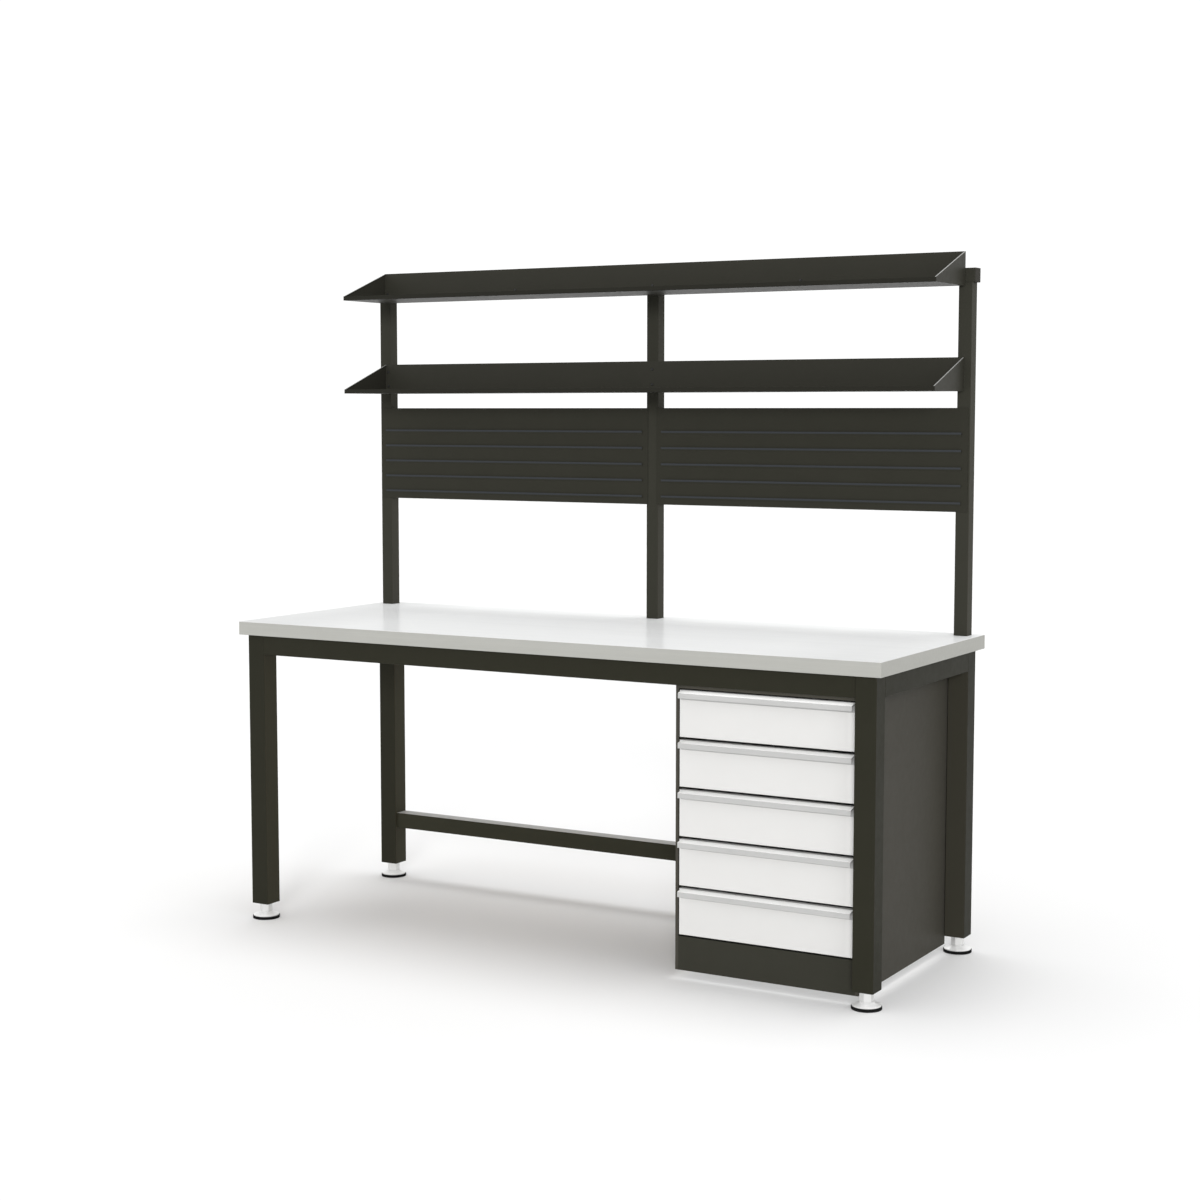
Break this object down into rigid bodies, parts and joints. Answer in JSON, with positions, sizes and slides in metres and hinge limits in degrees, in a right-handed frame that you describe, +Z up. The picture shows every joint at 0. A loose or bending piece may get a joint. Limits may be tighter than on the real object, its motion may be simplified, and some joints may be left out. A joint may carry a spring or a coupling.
{
  "type": "workbench",
  "caption": "Workbench with a stainless-clad top on a dark tube frame with levelling feet, a hung drawer cabinet on the right, and rear uprights carrying tray shelves and louvred panels.",
  "frame": {"origin": "on the floor, under the middle of the worktop", "axes": "+X to the user's right, +Y to the back, +Z up"},
  "size_m": [2.1, 0.776, 2.008],
  "materials": {
    "dark_powder_coat": "fine-textured satin powder coat",
    "white_powder_coat": "smooth satin powder coat",
    "grey_powder_coat": "satin powder coat",
    "stainless_steel": "brushed along the length",
    "satin_aluminium": "satin anodised",
    "zinc_steel": "zinc plated",
    "bright_zinc": "bright plated",
    "black_screw": "black oxide",
    "core_board": "raw particle board",
    "black_rubber": "matt",
    "black_plastic": "matt"
  },
  "bodies": {
    "bench": {"worktop_steel_skin": "stainless_steel", "worktop_core": "core_board", "leg_front_left": "dark_powder_coat", "leg_front_right": "dark_powder_coat", "leg_rear_left": "dark_powder_coat", "leg_rear_right": "dark_powder_coat", "apron_front": "dark_powder_coat", "apron_rear": "dark_powder_coat", "apron_left": "dark_powder_coat", "apron_right": "dark_powder_coat", "rear_stretcher": "dark_powder_coat", "leg_threaded_plugs": "zinc_steel", "worktop_angle_clips": "zinc_steel", "worktop_screws": "zinc_steel", "upright_left": "dark_powder_coat", "upright_centre": "dark_powder_coat", "upright_right": "dark_powder_coat", "top_rail": "dark_powder_coat", "top_rail_end_caps": "black_plastic", "upright_bolts": "zinc_steel", "shelf_upper": "dark_powder_coat", "shelf_lower": "dark_powder_coat", "louvre_panel_left": "dark_powder_coat", "louvre_panel_right": "dark_powder_coat", "shelf_and_panel_screws": "black_screw", "cabinet_left_wall": "dark_powder_coat", "cabinet_right_wall": "dark_powder_coat", "cabinet_back": "dark_powder_coat", "cabinet_top": "dark_powder_coat", "cabinet_plinth_base": "dark_powder_coat", "cabinet_hanging_bolts": "zinc_steel", "runner_cabinet_rails": "zinc_steel"},
    "drawer_1": {"drawer_1_front": "white_powder_coat", "drawer_1_grip": "satin_aluminium", "drawer_1_box": "grey_powder_coat"},
    "runners_1": {"drawer_1_middle_runners": "zinc_steel"},
    "drawer_2": {"drawer_2_front": "white_powder_coat", "drawer_2_grip": "satin_aluminium", "drawer_2_box": "grey_powder_coat"},
    "runners_2": {"drawer_2_middle_runners": "zinc_steel"},
    "drawer_3": {"drawer_3_front": "white_powder_coat", "drawer_3_grip": "satin_aluminium", "drawer_3_box": "grey_powder_coat"},
    "runners_3": {"drawer_3_middle_runners": "zinc_steel"},
    "drawer_4": {"drawer_4_front": "white_powder_coat", "drawer_4_grip": "satin_aluminium", "drawer_4_box": "grey_powder_coat"},
    "runners_4": {"drawer_4_middle_runners": "zinc_steel"},
    "drawer_5": {"drawer_5_front": "white_powder_coat", "drawer_5_grip": "satin_aluminium", "drawer_5_box": "grey_powder_coat"},
    "runners_5": {"drawer_5_middle_runners": "zinc_steel"},
    "foot_front_left": {"foot_front_left_pad": "black_rubber", "foot_front_left_spindle": "bright_zinc"},
    "foot_front_right": {"foot_front_right_pad": "black_rubber", "foot_front_right_spindle": "bright_zinc"},
    "foot_rear_left": {"foot_rear_left_pad": "black_rubber", "foot_rear_left_spindle": "bright_zinc"},
    "foot_rear_right": {"foot_rear_right_pad": "black_rubber", "foot_rear_right_spindle": "bright_zinc"}
  },
  "joints": [
    {"name": "drawer_1_pull", "type": "slide", "parent": "bench", "child": "drawer_1", "axis": [0, -1, 0], "range_m": [0, 0.5]},
    {"name": "runners_1_travel", "type": "slide", "parent": "bench", "child": "runners_1", "axis": [0, -1, 0], "range_m": [0, 0.25]},
    {"name": "drawer_2_pull", "type": "slide", "parent": "bench", "child": "drawer_2", "axis": [0, -1, 0], "range_m": [0, 0.5]},
    {"name": "runners_2_travel", "type": "slide", "parent": "bench", "child": "runners_2", "axis": [0, -1, 0], "range_m": [0, 0.25]},
    {"name": "drawer_3_pull", "type": "slide", "parent": "bench", "child": "drawer_3", "axis": [0, -1, 0], "range_m": [0, 0.5]},
    {"name": "runners_3_travel", "type": "slide", "parent": "bench", "child": "runners_3", "axis": [0, -1, 0], "range_m": [0, 0.25]},
    {"name": "drawer_4_pull", "type": "slide", "parent": "bench", "child": "drawer_4", "axis": [0, -1, 0], "range_m": [0, 0.5]},
    {"name": "runners_4_travel", "type": "slide", "parent": "bench", "child": "runners_4", "axis": [0, -1, 0], "range_m": [0, 0.25]},
    {"name": "drawer_5_pull", "type": "slide", "parent": "bench", "child": "drawer_5", "axis": [0, -1, 0], "range_m": [0, 0.5]},
    {"name": "runners_5_travel", "type": "slide", "parent": "bench", "child": "runners_5", "axis": [0, -1, 0], "range_m": [0, 0.25]},
    {"name": "foot_front_left_screw", "type": "slide", "parent": "bench", "child": "foot_front_left", "axis": [0, 0, -1], "range_m": [0, 0.03]},
    {"name": "foot_front_right_screw", "type": "slide", "parent": "bench", "child": "foot_front_right", "axis": [0, 0, -1], "range_m": [0, 0.03]},
    {"name": "foot_rear_left_screw", "type": "slide", "parent": "bench", "child": "foot_rear_left", "axis": [0, 0, -1], "range_m": [0, 0.03]},
    {"name": "foot_rear_right_screw", "type": "slide", "parent": "bench", "child": "foot_rear_right", "axis": [0, 0, -1], "range_m": [0, 0.03]}
  ],
  "couplings": [
    {"joint": "runners_1_travel", "follows": "drawer_1_pull", "ratio": 0.5},
    {"joint": "runners_2_travel", "follows": "drawer_2_pull", "ratio": 0.5},
    {"joint": "runners_3_travel", "follows": "drawer_3_pull", "ratio": 0.5},
    {"joint": "runners_4_travel", "follows": "drawer_4_pull", "ratio": 0.5},
    {"joint": "runners_5_travel", "follows": "drawer_5_pull", "ratio": 0.5}
  ]
}
